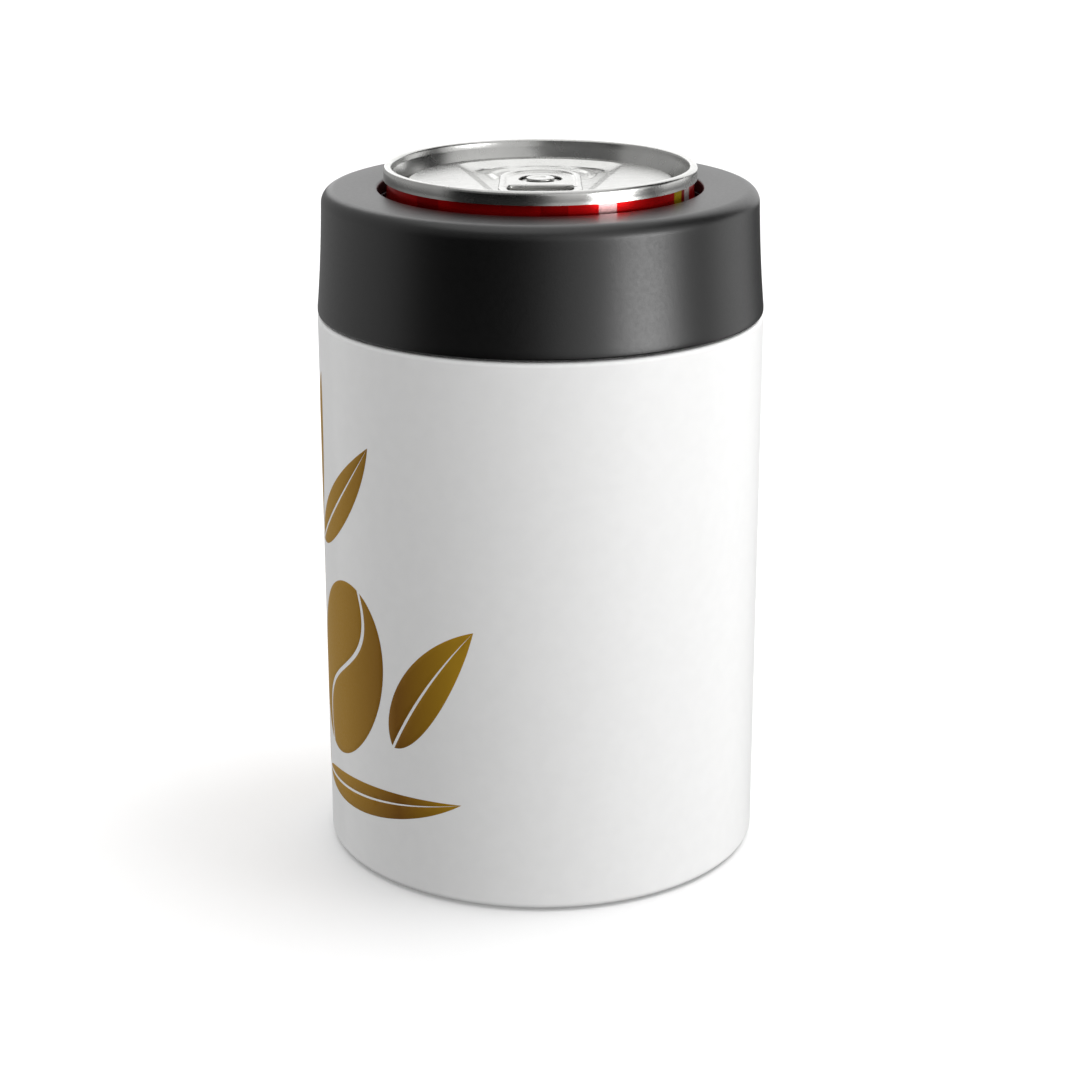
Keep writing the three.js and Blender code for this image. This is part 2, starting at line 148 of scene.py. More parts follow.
def arc(centre, radius, start, end, steps=FILLET_STEPS):
    """Points on an arc from one angle to another."""
    angles = np.radians(np.linspace(start, end, steps + 1))
    x, y = centre
    return [Vector((x + radius * math.cos(a), y + radius * math.sin(a))) for a in angles]


def curve(controls, steps):
    """Points on the Bezier curve that these controls steer."""
    points = []
    for i in range(steps + 1):
        level = [Vector(c) for c in controls]
        while len(level) > 1:
            level = [a.lerp(b, i / steps) for a, b in zip(level, level[1:])]
        points.append(level[0])
    return points


def filleted(corners, closed=False):
    """The points of an outline through (across, up, fillet radius) corners."""
    points = []
    count = len(corners)
    for i, (x, y, radius) in enumerate(corners):
        here = Vector((x, y))
        if radius == 0 or (not closed and i in (0, count - 1)):
            points.append(here)
            continue
        before = (Vector(corners[i - 1][:2]) - here).normalized()
        after = (Vector(corners[(i + 1) % count][:2]) - here).normalized()
        half = before.angle(after) / 2
        centre = here + (before + after).normalized() * (radius / math.sin(half))
        spoke = here + before * (radius / math.tan(half)) - centre
        last = here + after * (radius / math.tan(half)) - centre
        turn = math.copysign(math.pi - 2 * half, spoke.x * last.y - spoke.y * last.x)
        for step in range(FILLET_STEPS + 1):
            points.append(centre + Matrix.Rotation(turn * step / FILLET_STEPS, 2) @ spoke)
    return points


def single(points):
    """The points with repeats in a row counted once."""
    return [p for i, p in enumerate(points) if i == 0 or (p - points[i - 1]).length > SAME_POINT]


def left_normal(start, end):
    along = (end - start).normalized()
    return Vector((-along.y, along.x))


def offset(face, distance):
    """An open line moved to its left, mitred where it bends. A point on the axis stays on it."""
    moved = []
    last = len(face) - 1
    for i, point in enumerate(face):
        before = left_normal(face[max(i - 1, 0)], face[max(i, 1)])
        after = left_normal(face[min(i, last - 1)], face[min(i + 1, last)])
        step = (before + after) * (distance / (1 + before.dot(after)))
        moved.append(Vector((0.0 if point.x < AXIS_R else point.x + step.x, point.y + step.y)))
    return moved


def sheet(face, thickness):
    """The closed section of a pressed sheet, with its other face at the left."""
    return face + offset(face, thickness)[::-1]


def rows_up(radius, low, high, spacing):
    """Points up or down a straight wall, close enough to carry relief."""
    count = max(2, round(abs(high - low) / spacing))
    return [Vector((radius, low + (high - low) * i / count)) for i in range(count + 1)]


# ---- Meshes -------------------------------------------------------------------------------------


class Build:
    """Points in millimetres and faces, gathered for one mesh."""

    def __init__(self):
        self.points = []
        self.faces = []

    def row(self, points):
        first = len(self.points)
        self.points.extend(points)
        return list(range(first, len(self.points)))

    def bridge(self, low, high):
        """Faces between two rings, or between a ring and a single point."""
        count = max(len(low), len(high))
        for i in range(count):
            j = (i + 1) % count
            corners = [low[i % len(low)], low[j % len(low)], high[j % len(high)], high[i % len(high)]]
            face = list(dict.fromkeys(corners))
            if len(face) > 2:
                self.faces.append(face)

    def skin(self, rows, closed):
        for low, high in zip(rows, rows[1:]):
            self.bridge(low, high)
        if closed:
            self.bridge(rows[-1], rows[0])

    def join(self, other):
        first = len(self.points)
        self.points.extend(other.points)
        self.faces.extend([i + first for i in face] for face in other.faces)

    def shift(self, x):
        self.points = [Vector((p[0] + x, p[1], p[2])) for p in self.points]


def ring(radius, height, azimuths, relief=None):
    """A ring of points, pushed out by relief(azimuth, radius, height)."""
    points = []
    for a in azimuths:
        r = radius + (relief(a, radius, height) if relief else 0.0)
        points.append((r * math.cos(a), r * math.sin(a), height))
    return points


def turned(profile, relief=None, steps=TURN_STEPS):
    """A profile, radius across and height up, turned counter-clockwise about the Z axis."""
    build = Build()
    azimuths = [2 * math.pi * i / steps for i in range(steps)]
    rows = []
    for point in single(profile):
        on_axis = point.x < AXIS_R
        rows.append(build.row([(0, 0, point.y)] if on_axis else ring(point.x, point.y, azimuths, relief)))
    build.skin(rows, closed=len(rows[0]) > 1 or len(rows[-1]) > 1)
    return build


def eased(t, ease=0.18):
    """An even slope from 0 to 1, rounded at both ends."""
    pace = 1 / (1 - ease)
    if t < ease:
        return pace * t * t / (2 * ease)
    if t > 1 - ease:
        return 1 - pace * (1 - t) ** 2 / (2 * ease)
    return pace * (t - ease / 2)


def thread_height(thread, azimuth, z):
    """How far a thread stands out of its wall at one place, with ends that run out smoothly."""
    height = 0.0
    for start in range(STARTS):
        along = (math.degrees(azimuth) - thread["start"] - 360 * start / STARTS) % 360
        if along > thread["arc"]:
            continue
        middle = thread["low"] + LEAD * along / 360
        across = (thread["base"] - 2 * abs(z - middle)) / (thread["base"] - thread["crest"])
        taper = min(along, thread["arc"] - along) / THREAD_TAPER
        height = max(height, thread["height"] * smooth(across) * smooth(taper))
    return height


def edge_distance(points, loops):
    """Each point's distance from the nearest edge of the loops."""
    nearest = np.full(len(points), np.inf)
    for loop in loops:
        for a, b in zip(loop, np.roll(loop, -1, axis=0)):
            along = b - a
            t = np.clip(((points - a) @ along) / (along @ along), 0, 1)
            nearest = np.minimum(nearest, np.linalg.norm(points - a - t[:, None] * along, axis=1))
    return nearest


def inside(points, loops):
    """Whether each point is inside the first loop and outside the others."""
    odd = np.zeros(len(points), bool)
    for loop in loops:
        for a, b in zip(loop, np.roll(loop, -1, axis=0)):
            if a[1] == b[1]:
                continue
            spans = (a[1] > points[:, 1]) != (b[1] > points[:, 1])
            crossing = a[0] + (points[:, 1] - a[1]) * (b[0] - a[0]) / (b[1] - a[1])
            odd ^= spans & (points[:, 0] < crossing)
    return odd


def inner_row(loop, loops, distance):
    """The loop's points moved into the sheet, where there is room for them."""
    after = np.roll(loop, -1, axis=0) - np.roll(loop, 1, axis=0)
    normal = np.column_stack([-after[:, 1], after[:, 0]]) / np.linalg.norm(after, axis=1)[:, None]
    row = []
    for side in (-1, 1):
        moved = loop + normal * side * distance
        keep = inside(moved, loops) & (edge_distance(moved, loops) > distance * 0.97)
        row.extend(moved[keep])
    return row


def grid_points(loops, spacing, margin):
    low, high = loops[0].min(0), loops[0].max(0)
    across = np.arange(low[0] + spacing / 2, high[0], spacing)
    up = np.arange(low[1] + spacing / 2, high[1], spacing)
    points = np.array([(x, y) for y in up for x in across])
    if not len(points):
        return []
    keep = inside(points, loops) & (edge_distance(points, loops) > margin)
    return list(points[keep])


def flat_mesh(loops, rows, spacing):
    """Places inside the first loop and outside the others, and the faces between them."""
    flat, edges = [], []
    for loop in loops:
        first = len(flat)
        flat.extend(loop)
        edges.extend((first + i, first + (i + 1) % len(loop)) for i in range(len(loop)))
    for distance in rows:
        for loop in loops:
            flat.extend(inner_row(loop, loops, distance))
    flat.extend(grid_points(loops, spacing, rows[-1] + spacing / 2))
    result = delaunay_2d_cdt([Vector(p) for p in flat], edges, [], 0, SAME_POINT)
    places = np.array([tuple(v) for v in result[0]])
    centres = np.array([places[list(face)].mean(0) for face in result[2]])
    return places, [face for face, within in zip(result[2], inside(centres, loops)) if within]


def formed_sheet(loops, rows, spacing, top, bottom):
    """A closed sheet inside the first loop and outside the others.

    top and bottom give the heights of its faces from the places and their distances to the nearest
    edge. The faces meet at the edge. rows are distances from the edges at which points run along
    them, and spacing is the grid's in between.
    """
    loops = [np.array(loop, float) for loop in loops]
    places, faces = flat_mesh(loops, rows, spacing)
    depth = edge_distance(places, loops)
    build = Build()
    upper = build.row(np.column_stack([places, top(places, depth)]))
    lower = build.row(np.column_stack([places, bottom(places, depth)]))
    on_edge = depth < AT_EDGE
    under = [upper[i] if on_edge[i] else lower[i] for i in range(len(places))]
    for face in faces:
        if all(on_edge[i] for i in face):
            continue
        build.faces.append([upper[i] for i in face])
        build.faces.append([under[i] for i in face][::-1])
    return build


# ---- Pieces -------------------------------------------------------------------------------------


def add_piece(name, build, body, material, nodes=(), sharp=SHARP_ANGLE):
    """Makes the mesh, gives it its material, and hands it to its body."""
    mesh = bpy.data.meshes.new(name)
    mesh.from_pydata([(p[0] * MM, p[1] * MM, p[2] * MM) for p in build.points], [], build.faces)
    tidy = bmesh.new()
    tidy.from_mesh(mesh)
    loose = [v for v in tidy.verts if not v.link_faces]
    bmesh.ops.delete(tidy, geom=loose, context="VERTS")
    bmesh.ops.recalc_face_normals(tidy, faces=tidy.faces)
    tidy.to_mesh(mesh)
    tidy.free()
    mesh.shade_smooth()
    mesh.set_sharp_from_angle(angle=math.radians(sharp))
    mesh.materials.append(material)
    piece = bpy.data.objects.new(name, mesh)
    bpy.context.scene.collection.objects.link(piece)
    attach(piece, body)
    if nodes:
        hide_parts(*nodes)
    return piece


# ---- Materials ----------------------------------------------------------------------------------


def new_material(name, **sockets):
    """A Principled material. Socket names are given with underscores for spaces."""
    material = bpy.data.materials.new(name)
    material.use_nodes = True
    shader = material.node_tree.nodes["Principled BSDF"]
    for socket, value in sockets.items():
        shader.inputs[socket.replace("_", " ")].default_value = value
    return material


def add_node(material, kind, **settings):
    node = material.node_tree.nodes.new(kind)
    for name, value in settings.items():
        setattr(node, name, value)
    return node


def connect(material, output, target):
    material.node_tree.links.new(output, target)


def shader_input(material, socket):
    return material.node_tree.nodes["Principled BSDF"].inputs[socket]


def noise(material, waves, detail=3.0, stretch=(1, 1, 1)):
    """A noise pattern with so many waves in a metre, squeezed along the axes by stretch."""
    place = add_node(material, "ShaderNodeTexCoord")
    mapping = add_node(material, "ShaderNodeMapping")
    mapping.inputs["Scale"].default_value = stretch
    texture = add_node(material, "ShaderNodeTexNoise")
    texture.inputs["Scale"].default_value = waves
    texture.inputs["Detail"].default_value = detail
    connect(material, place.outputs["Object"], mapping.inputs["Vector"])
    connect(material, mapping.outputs["Vector"], texture.inputs["Vector"])
    return texture.outputs[0]


def ramp(material, value, stops, interpolation="LINEAR"):
    """A colour ramp over (position, colour) stops."""
    node = add_node(material, "ShaderNodeValToRGB")
    node.color_ramp.interpolation = interpolation
    elements = node.color_ramp.elements
    while len(elements) < len(stops):
        elements.new(0.5)
    for element, (position, colour) in zip(elements, stops):
        element.position = position
        element.color = (*colour, 1.0)
    connect(material, value, node.inputs["Fac"])
    return node.outputs["Color"]


def vary_colour(material, value, low, high):
    colour = ramp(material, value, [(0.35, low), (0.65, high)])
    connect(material, colour, shader_input(material, "Base Color"))


def vary_roughness(material, value, low, high):
    node = add_node(material, "ShaderNodeMapRange")
    node.inputs["From Min"].default_value = 0.3
    node.inputs["From Max"].default_value = 0.7
    node.inputs["To Min"].default_value = low
    node.inputs["To Max"].default_value = high
    connect(material, value, node.inputs["Value"])
    connect(material, node.outputs["Result"], shader_input(material, "Roughness"))


def bump(material, value, height_mm, strength=1.0):
    node = add_node(material, "ShaderNodeBump")
    node.inputs["Distance"].default_value = height_mm * MM
    node.inputs["Strength"].default_value = strength
    connect(material, value, node.inputs["Height"])
    connect(material, node.outputs["Normal"], shader_input(material, "Normal"))


def white_coat():
    """Satin powder coat with a faint orange peel."""
    material = new_material("white_coat", IOR=1.48)
    vary_colour(material, noise(material, 400), (0.885, 0.885, 0.88), (0.9, 0.9, 0.895))
    vary_roughness(material, noise(material, 700), 0.44, 0.5)
    bump(material, noise(material, 1400, 2.0), 0.006, 0.5)
    return material


def gold_ink_painted_shading():
    """Metallic gold ink with painted shade and highlight: its colour runs from pale gold to bronze and back
    across the object's X, bronze where the body turns from the light.
    """
    material = new_material("gold_ink_painted_shading", Metallic=0.3, Specular_Tint=(1.0, 0.72, 0.2, 1.0))
    # pale is the painted highlight on the gold ink and bronze its painted shade
    pale, bronze = (0.52, 0.29, 0.022), (0.22, 0.09, 0.008)
    place = add_node(material, "ShaderNodeTexCoord")
    axes = add_node(material, "ShaderNodeSeparateXYZ")
    # Painted shade and highlight: the object's X from -40 mm to -10 mm gives pale gold at the body's left
    # edge, bronze about 40 degrees round from the front, and pale gold again nearer the front
    across = add_node(material, "ShaderNodeMapRange")
    across.inputs["From Min"].default_value = -0.04
    across.inputs["From Max"].default_value = -0.01
    connect(material, place.outputs["Object"], axes.inputs["Vector"])
    connect(material, axes.outputs["X"], across.inputs["Value"])
    colour = ramp(material, across.outputs["Result"], [(0.0, pale), (0.5, bronze), (0.85, pale)])
    connect(material, colour, shader_input(material, "Base Color"))
    vary_roughness(material, noise(material, 2500), 0.4, 0.5)
    bump(material, noise(material, 4000, 2.0), 0.004, 0.4)
    return material


def collar_plastic():
    """Black moulded plastic with a fine spark-eroded grain."""
    material = new_material("collar_plastic", IOR=1.7)
    vary_colour(material, noise(material, 900), (0.0008, 0.0008, 0.0008), (0.0016, 0.0016, 0.0016))
    vary_roughness(material, noise(material, 1500, 3.0), 0.39, 0.42)
    bump(material, noise(material, 3000, 2.0), 0.012, 0.5)
    return material


def gasket_silicone():
    material = new_material("gasket_silicone", IOR=1.42)
    vary_colour(material, noise(material, 300), (0.006, 0.006, 0.006), (0.01, 0.01, 0.01))
    vary_roughness(material, noise(material, 500), 0.22, 0.32)
    bump(material, noise(material, 900), 0.01, 0.4)
    return material


def base_silicone():
    material = new_material("base_silicone", IOR=1.42)
    vary_colour(material, noise(material, 250), (0.022, 0.022, 0.023), (0.034, 0.034, 0.035))
    vary_roughness(material, noise(material, 900), 0.6, 0.75)
    bump(material, noise(material, 3500), 0.02, 0.5)
    return material


def stainless_steel():
    """Steel brushed round the axis: its grain is fine up the wall and long round it."""
    material = new_material("stainless_steel", Metallic=1.0)
    grain = noise(material, 30, 6.0, (1.0, 1.0, 260.0))
    vary_colour(material, grain, (0.5, 0.5, 0.49), (0.64, 0.64, 0.63))
    vary_roughness(material, grain, 0.22, 0.38)
    bump(material, grain, 0.004, 0.5)
    return material


def can_aluminium():
    """Rolled aluminium strip: its grain runs one way across the end and the tab."""
    material = new_material("can_aluminium", Metallic=1.0)
    grain = noise(material, 110, 2.0, (24.0, 1.0, 1.0))
    vary_colour(material, noise(material, 300, 3.0), (0.54, 0.54, 0.525), (0.58, 0.58, 0.565))
    vary_roughness(material, noise(material, 400, 2.0), 0.25, 0.28)
    bump(material, grain, 0.0003, 0.2)
    return material


def glass_solder():
    material = new_material("glass_solder", IOR=1.6)
    vary_colour(material, noise(material, 900), (0.06, 0.055, 0.05), (0.12, 0.11, 0.1))
    vary_roughness(material, noise(material, 600), 0.12, 0.25)
    bump(material, noise(material, 1500), 0.02, 0.5)
    return material


def getter_metal():
    material = new_material("getter_metal", Metallic=0.8)
    vary_colour(material, noise(material, 2400), (0.1, 0.1, 0.1), (0.2, 0.195, 0.19))
    vary_roughness(material, noise(material, 1800), 0.55, 0.8)
    bump(material, noise(material, 3000), 0.05, 0.8)
    return material


LACQUER_RED = (0.68, 0.005, 0.006)
LACQUER_DARK = (0.42, 0.002, 0.003)
LACQUER_PALE = (0.76, 0.43, 0.43)
LACQUER_YELLOW = (0.72, 0.5, 0.01)
LACQUER_WHITE = (0.8, 0.72, 0.7)

# The azimuth at which each upright bar of the can's printing starts, and its colour
BARS = [
    (-180, LACQUER_RED),
    (-150, LACQUER_DARK),
    (-142, LACQUER_RED),
    (-96, LACQUER_PALE),
    (-88, LACQUER_RED),
    (-52, LACQUER_DARK),
    (-40, LACQUER_RED),
    (0, LACQUER_DARK),
    (8.5, LACQUER_RED),
    (20, LACQUER_PALE),
    (27.5, LACQUER_RED),
    (57.5, LACQUER_YELLOW),
    (63, LACQUER_DARK),
    (66, LACQUER_WHITE),
    (71, LACQUER_RED),
    (120, LACQUER_PALE),
    (132, LACQUER_RED),
    (160, LACQUER_YELLOW),
    (166, LACQUER_RED),
]


def azimuth_share(material):
    """The azimuth as a share: 0 at the back, 0.5 at the front, and 1 at the back again."""
    place = add_node(material, "ShaderNodeTexCoord")
    axes = add_node(material, "ShaderNodeSeparateXYZ")
    backward = add_node(material, "ShaderNodeMath", operation="MULTIPLY")
    backward.inputs[1].default_value = -1.0
    azimuth = add_node(material, "ShaderNodeMath", operation="ARCTAN2")
    share = add_node(material, "ShaderNodeMapRange")
    share.inputs["From Min"].default_value = -math.pi
    share.inputs["From Max"].default_value = math.pi
    connect(material, place.outputs["Object"], axes.inputs["Vector"])
    connect(material, axes.outputs["Y"], backward.inputs[0])
    connect(material, axes.outputs["X"], azimuth.inputs[0])
    connect(material, backward.outputs[0], azimuth.inputs[1])
    connect(material, azimuth.outputs[0], share.inputs["Value"])
    return share.outputs["Result"]


def can_lacquer():
    """Red lacquer on drawn aluminium, printed with plain upright bars."""
    material = new_material("can_lacquer", Metallic=0.85, IOR=1.3)
    stops = [(0.5 + degrees / 360, colour) for degrees, colour in BARS]
    colour = ramp(material, azimuth_share(material), stops, "CONSTANT")
    connect(material, colour, shader_input(material, "Base Color"))
    vary_roughness(material, noise(material, 200, 2.0), 0.23, 0.26)
    bump(material, noise(material, 40, 2.0, (1.0, 1.0, 12.0)), 0.001, 0.2)
    return material


def floor_paint():
    material = new_material("floor_paint")
    vary_colour(material, noise(material, 6), (0.9, 0.9, 0.9), (0.92, 0.92, 0.92))
    vary_roughness(material, noise(material, 40), 0.8, 0.9)
    return material


# ---- Vessel -------------------------------------------------------------------------------------


def outer_shell(material):
    """The coated body, drawn in to a threaded neck."""
    root = 0.6
    face = filleted([
        (SHELL_LIP_R, SHELL.low, 0),
        (SHELL_R, SHELL.low, 1.2),
        (SHELL_R, SHOULDER_Z, 0.8),
        (NECK_R, SHOULDER_Z, root),
        (NECK_R, SHOULDER_Z + 2 * root, 0),
    ])
    face += rows_up(NECK_R, SHOULDER_Z + 2 * root, SHELL.high, THREAD_ROWS)

    def relief(azimuth, radius, height):
        on_neck = abs(radius - NECK_R) < AT_EDGE
        return thread_height(RIDGE, azimuth, height) if on_neck else 0.0

    build = turned(sheet(single(face), SHELL_T), relief)
    add_piece("holder_body", build, "vessel", material, ["outer_shell"])


def inner_liner(material):
    face = filleted([
        (0, LINER.low, 0),
        (LINER_R, LINER.low, 4.5),
        (LINER_R, LINER.high - LINER_T, 0.45),
        (LINER.r, LINER.high - LINER_T, 0),
    ])
    build = turned(sheet(face, LINER_T))
    add_piece("liner", build, "vessel", material, ["inner_liner"])


def base_plate(material):
    """The vacuum base, with a flange up the wall and a dimple round its evacuation hole."""
    floor, dimple = PLATE.low + 1.2, PLATE.low + 2.8
    face = filleted([
        (0.75, dimple, 0),
        (5.5, dimple, 0.6),
        (6.5, floor, 0.6),
        (35.0, floor, 0.4),
        (35.0, PLATE.low, 0.4),
        (PLATE.r, PLATE.low, 0.9),
        (PLATE.r, PLATE.high, 0),
    ])
    build = turned(sheet(face, PLATE_T))
    add_piece("vacuum_base", build, "vessel", material, ["base_plate"])


def seal_bead(material):
    middle = (SEAL.low + SEAL.high) / 2
    half = (SEAL.high - SEAL.low) / 2
    edge = arc((SEAL.r - half, middle), half, -90, 90, 12)
    build = turned([Vector((0, SEAL.low)), *edge, Vector((0, SEAL.high))], steps=64)
    add_piece("evacuation_seal", build, "vessel", material, ["seal_bead"])


def disc(extent, steps=TURN_STEPS):
    """A flat disc with rounded edges, the size of a CAD node."""
    fillet = 0.2
    profile = filleted([
        (0, extent.low, 0),
        (extent.r, extent.low, fillet),
        (extent.r, extent.high, fillet),
        (0, extent.high, 0),
    ])
    return turned(profile, steps=steps)


def getter(material):
    build = disc(GETTER, SMALL_TURN_STEPS)
    build.shift(GETTER.x)
    add_piece("getter_pellet", build, "vessel", material, ["getter"])


def getter_holder(material):
    """The clip: a flange, a wall round the pellet, and a rim over it, open in the middle."""
    wall = GETTER.r + 0.65
    face = filleted([
        (HOLDER.r, HOLDER.low + HOLDER_T, 0),
        (wall, HOLDER.low + HOLDER_T, 0.2),
        (wall, HOLDER.high, 0.5),
        (4.0, HOLDER.high, 0),
    ])
    build = turned(sheet(face, HOLDER_T), steps=SMALL_TURN_STEPS)
    build.shift(HOLDER.x)
    add_piece("getter_clip", build, "vessel", material, ["getter_holder"])


def base_cover(material):
    add_piece("cover_disc", disc(COVER), "vessel", material, ["base_cover"])


def base_pad(material):
    """The silicone pad, with round grooves in the ring that it stands on."""
    ring_r, hollow, groove_w, depth = 26.0, 0.5, 0.7, 0.35
    corners = [(0, hollow, 0), (ring_r - hollow, hollow, 0.2), (ring_r, 0, 0.15)]
    for middle in (28.0, 30.0, 32.0):
        corners += [
            (middle - groove_w, PAD.low, 0.1),
            (middle - groove_w / 2, PAD.low + depth, 0.1),
            (middle + groove_w / 2, PAD.low + depth, 0.1),
            (middle + groove_w, PAD.low, 0.1),
        ]
    corners += [(PAD.r, PAD.low, 0.45), (PAD.r, PAD.high, 0.2), (0, PAD.high, 0)]
    add_piece("grip_pad", turned(filleted(corners)), "vessel", material, ["base_pad"])


# ---- Gold print ---------------------------------------------------------------------------------
# A sprig of broad leaves with beans at its foot. It is drawn flat, across the wall and up it, and
# wrapped round the body.

PRINT_AZIMUTH = -85
LEAF_VEIN = 0.55
BEAN_CREASE = 0.9

# Beans as (centre, length, width, tilt), and leaves as (base, tip, width, sag)
BEANS = [
    ((14.5, 37), 35, 25, -22),
    ((-15.5, 34), 30, 21, 26),
]
LEAVES = [
    ((30, 27), (46.5, 51), 6.2, 1.8),
    ((-29, 25), (-46, 47), 6.2, -1.8),
    ((3, 58), (25, 80), 5.2, -2.2),
    ((0.5, 60), (5, 89), 4.6, 1.6),
    ((-3, 57), (-22, 77), 5.2, 2.2),
    ((3, 13.5), (44, 19), 4.0, -2.2),
    ((-3, 13.5), (-44, 19), 4.0, 2.2),
]
STEM = [(0, 13), (2.5, 30), (-2.5, 42), (0, 58)]
STEM_FOOT_W = 1.5
STEM_TIP_W = 0.9


def as_loop(points):
    """A closed loop without a repeated last point."""
    loop = single([Vector(p) for p in points])
    if (loop[0] - loop[-1]).length < SAME_POINT:
        loop.pop()
    return [tuple(p) for p in loop]


def leaf(base, tip, width, sag):
    """The two halves of a pointed leaf, parted by its vein. sag bends the vein sideways."""
    base, tip = Vector(base), Vector(tip)
    along = tip - base
    side = Vector((-along.y, along.x)).normalized()
    halves = []
    for sign in (-1, 1):
        out = side * sign
        vein = [base + out * LEAF_VEIN / 2, base + along * 0.5 + side * sag + out * LEAF_VEIN / 2, tip]
        edge = [
            base + out * LEAF_VEIN / 2,
            base + along * 0.12 + side * sag * 0.5 + out * width,
            base + along * 0.68 + side * sag * 1.2 + out * width * 0.92,
            tip,
        ]
        halves.append(as_loop(curve(vein, 30) + curve(edge, 44)[::-1]))
    return halves


def bean(centre, length, width, tilt):
    """The two halves of a bean, parted by a crease in an S-curve."""
    turn = Matrix.Rotation(math.radians(tilt), 2)
    centre = Vector(centre)
    halves = []
    for sign in (-1, 1):
        start, end = (-88, 88) if sign > 0 else (92, 268)
        side = [Vector((p.x * width / length, p.y)) for p in arc((0, 0), length / 2, start, end, 48)]
        shift = Vector((BEAN_CREASE / 2 * sign, 0))
        low, high = Vector((0, -length / 2)), Vector((0, length / 2))
        crease = [low, Vector((-width * 0.55, -length * 0.12)), Vector((width * 0.55, length * 0.12)), high]
        middle = [p + shift for p in curve(crease, 36)][2:-2]
        outline = side + (middle[::-1] if sign > 0 else middle)
        halves.append(as_loop([centre + turn @ p for p in outline]))
    return halves


def stem(controls, thick, thin):
    """A stroke along a curve, tapering from its foot to its tip."""
    middle = curve(controls, 60)
    count = len(middle) - 1
    left, right = [], []
    for i, point in enumerate(middle):
        normal = left_normal(middle[max(i - 1, 0)], middle[min(i + 1, count)])
        half = (thick + (thin - thick) * i / count) / 2
        left.append(point + normal * half)
        right.append(point - normal * half)
    return [as_loop(left + right[::-1])]


def print_outlines():
    outlines = []
    for shape in BEANS:
        outlines += bean(*shape)
    for shape in LEAVES:
        outlines += leaf(*shape)
    return outlines + stem(STEM, STEM_FOOT_W, STEM_TIP_W)


def wrapped(build, radius, azimuth):
    """The flat build laid round a cylinder, with its height standing out of the wall."""
    points = []
    for x, y, height in build.points:
        angle = math.radians(azimuth) + x / radius
        r = radius + height
        points.append((r * math.sin(angle), -r * math.cos(angle), y))
    build.points = points
    return build


def gold_print(material):
    def ink(places, depth):
        return np.where(depth > AT_EDGE, PRINT_T, PRINT_T / 3)

    def wall(places, depth):
        return np.where(depth > AT_EDGE, 0.0, PRINT_T / 3)

    build = Build()
    for outline in print_outlines():
        build.join(formed_sheet([outline], [0.05], 1.0, ink, wall))
    wrapped(build, SHELL_R, PRINT_AZIMUTH)
    add_piece("gold_print", build, "vessel", material)


# ---- Collar -------------------------------------------------------------------------------------


def collar_shell(material):
    """The screw collar: a slightly hollow side, a soft top edge, and lugs inside."""
    bead_high, bead_low = 113.9, 112.9
    shoulder = COLLAR.high - COLLAR_FILLET
    side_low = COLLAR.low + 1
    wall_high = bead_low - 0.5
    bottom = filleted([
        (COLLAR_INNER_R, COLLAR.low, 0),
        (COLLAR.r, COLLAR.low, 0.45),
        (COLLAR.r, side_low, 0),
    ])
    side = curve([(COLLAR.r, side_low), (38.3, 108.0), (COLLAR_TOP_R, shoulder)], 24)
    edge = arc((COLLAR_TOP_R - COLLAR_FILLET, shoulder), COLLAR_FILLET, 0, 90, 14)
    inside_top = filleted([
        (COLLAR_TOP_R - COLLAR_FILLET, COLLAR.high, 0),
        (COLLAR_HOLE_R, COLLAR.high, 0.5),
        (COLLAR_HOLE_R, FLANGE_Z, 0.2),
        (COLLAR_INNER_R, FLANGE_Z, 0.2),
        (COLLAR_INNER_R, bead_high, 0.1),
        (BEAD_R, bead_high - 0.2, 0.15),
        (BEAD_R, bead_low + 0.2, 0.15),
        (COLLAR_INNER_R, bead_low, 0.1),
        (COLLAR_INNER_R, wall_high, 0),
    ])
    wall = rows_up(COLLAR_INNER_R, wall_high, COLLAR.low, THREAD_ROWS)[:-1]

    def relief(azimuth, radius, height):
        on_wall = abs(radius - COLLAR_INNER_R) < AT_EDGE and height < bead_low
        return -thread_height(LUG, azimuth, height) if on_wall else 0.0

    build = turned(bottom + side + edge + inside_top + wall, relief)
    add_piece("screw_collar", build, "collar", material, ["collar_shell"])


def can_gasket(material):
    """The gasket, with two soft ribs in its bore where it grips the can."""
    step_r, step_z = 35.7, 114.2
    bore_r, groove_r = 28.7, 28.95
    profile = filleted([
        (29.3, GASKET.low, 0.15),
        (step_r, GASKET.low, 0.2),
        (step_r, step_z, 0.1),
        (GASKET.r, step_z, 0.2),
        (GASKET.r, GASKET.high, 0.3),
        (bore_r, GASKET.high, 0.4),
        (bore_r, 116.6, 0.15),
        (groove_r, 116.3, 0.15),
        (groove_r, 115.7, 0.15),
        (bore_r, 115.4, 0.15),
        (bore_r, GASKET.low + 0.85, 0.15),
    ], closed=True)
    add_piece("can_grip_gasket", turned(profile), "gasket", material, ["can_gasket"])


# ---- Can ----------------------------------------------------------------------------------------


def can_body(material):
    """The drawn can, from the dome in its base to the neck inside the seam."""
    foot = CAN.low
    stand_r, roll = 23.9, 1.3
    dome_r, dome_top, dome_edge_r = 36.9, 10.5, 22.3
    wall_low, wall_high = foot + 11.5, foot + 93.0
    neck_r, neck_low = 26.65, foot + 111.2
    dome_edge = math.degrees(math.acos(dome_edge_r / dome_r))
    face = arc((0, foot + dome_top - dome_r), dome_r, 90, dome_edge, 24)
    face += arc((stand_r, foot + roll), roll, 180, 305, 12)
    face += curve([(29.0, foot + 3.2), (CAN.r, foot + 6.0), (CAN.r, wall_low)], 12)
    shoulder = [(CAN.r, wall_high), (CAN.r, foot + 99.5), (neck_r, foot + 105.5), (neck_r, neck_low)]
    face += curve(shoulder, 32)
    face += [Vector((neck_r, CAN.high))]
    face[0].x = 0.0
    build = turned(sheet(single(face), CAN_T))
    add_piece("drink_can", build, "can", material, ["can_body"])


FAN = np.linspace(0, 2 * math.pi, FAN_STEPS, endpoint=False)


